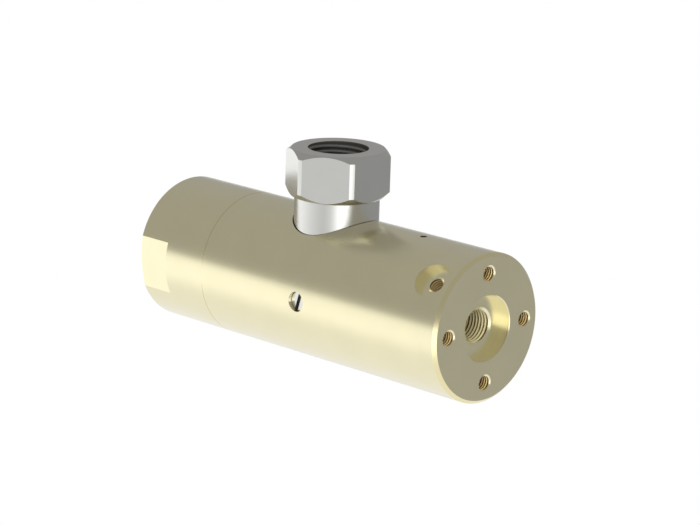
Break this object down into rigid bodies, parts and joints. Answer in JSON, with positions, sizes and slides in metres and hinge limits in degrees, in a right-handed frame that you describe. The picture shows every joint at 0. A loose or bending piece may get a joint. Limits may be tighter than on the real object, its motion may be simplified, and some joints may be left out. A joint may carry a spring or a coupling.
{
  "type": "quick connector",
  "caption": "Round quick connector with a tapped mounting face, a clamping tube mouth at the other end and a swivel hex nut on a side branch.",
  "frame": {"origin": "centre of the mounting hole circle on the front face, on the axis of the round body", "axes": "+X out of the front face along the body's axis, +Z along the side branch out of its nut, +Y completes the right-handed frame"},
  "size_m": [0.147, 0.052, 0.0758],
  "materials": {
    "body_metal": "satin champagne anodised",
    "satin_steel": "turned, satin",
    "spring_steel": "drawn, bright",
    "hard_steel": "hardened, ground",
    "brass": "turned",
    "black_rubber": "moulded",
    "green_rubber": "moulded",
    "white_plastic": "turned"
  },
  "bodies": {
    "housing": {"body": "body_metal", "nose_cap": "body_metal", "nose_cap_seal": "black_rubber", "tail_seal": "black_rubber", "spring_seat": "satin_steel", "flow_block": "brass", "block_seals": "black_rubber", "rod_seals": "black_rubber", "locating_screw": "spring_steel", "branch_adapter": "satin_steel", "adapter_seal": "black_rubber", "nut_retaining_wire": "spring_steel", "face_gasket": "green_rubber"},
    "piston_group": {"piston": "satin_steel", "piston_seal": "black_rubber", "piston_guide_ring": "white_plastic", "return_spring": "spring_steel", "seal_pusher": "satin_steel", "main_seal": "green_rubber", "thrust_washer": "spring_steel", "jaw_expander": "spring_steel"},
    "nut": {"hex_nut": "satin_steel"},
    "jaw_1": {"jaw_1": "hard_steel"},
    "jaw_2": {"jaw_2": "hard_steel"},
    "jaw_3": {"jaw_3": "hard_steel"},
    "jaw_4": {"jaw_4": "hard_steel"},
    "jaw_5": {"jaw_5": "hard_steel"},
    "jaw_6": {"jaw_6": "hard_steel"}
  },
  "joints": [
    {"name": "piston_stroke", "type": "slide", "parent": "housing", "child": "piston_group", "axis": [-1, 0, 0], "range_m": [0, 0.003], "stiffness_N_per_m": 8000, "springref_m": -0.002, "deforming": ["return_spring", "jaw_expander"]},
    {"name": "jaw_1_grip", "type": "slide", "parent": "housing", "child": "jaw_1", "axis": [-0.9659, -0.2241, -0.1294], "range_m": [0, 0.00311]},
    {"name": "jaw_2_grip", "type": "slide", "parent": "housing", "child": "jaw_2", "axis": [-0.9659, 0, -0.2588], "range_m": [0, 0.00311]},
    {"name": "jaw_3_grip", "type": "slide", "parent": "housing", "child": "jaw_3", "axis": [-0.9659, 0.2241, -0.1294], "range_m": [0, 0.00311]},
    {"name": "jaw_4_grip", "type": "slide", "parent": "housing", "child": "jaw_4", "axis": [-0.9659, 0.2241, 0.1294], "range_m": [0, 0.00311]},
    {"name": "jaw_5_grip", "type": "slide", "parent": "housing", "child": "jaw_5", "axis": [-0.9659, 0, 0.2588], "range_m": [0, 0.00311]},
    {"name": "jaw_6_grip", "type": "slide", "parent": "housing", "child": "jaw_6", "axis": [-0.9659, -0.2241, 0.1294], "range_m": [0, 0.00311]},
    {"name": "nut_swivel", "type": "hinge", "parent": "housing", "child": "nut", "pos_m": [-0.072, 0, 0.0414], "axis": [0, 0, 1], "continuous": true}
  ],
  "couplings": [
    {"joint": "jaw_1_grip", "follows": "piston_stroke", "ratio": 1.0353},
    {"joint": "jaw_2_grip", "follows": "piston_stroke", "ratio": 1.0353},
    {"joint": "jaw_3_grip", "follows": "piston_stroke", "ratio": 1.0353},
    {"joint": "jaw_4_grip", "follows": "piston_stroke", "ratio": 1.0353},
    {"joint": "jaw_5_grip", "follows": "piston_stroke", "ratio": 1.0353},
    {"joint": "jaw_6_grip", "follows": "piston_stroke", "ratio": 1.0353}
  ]
}
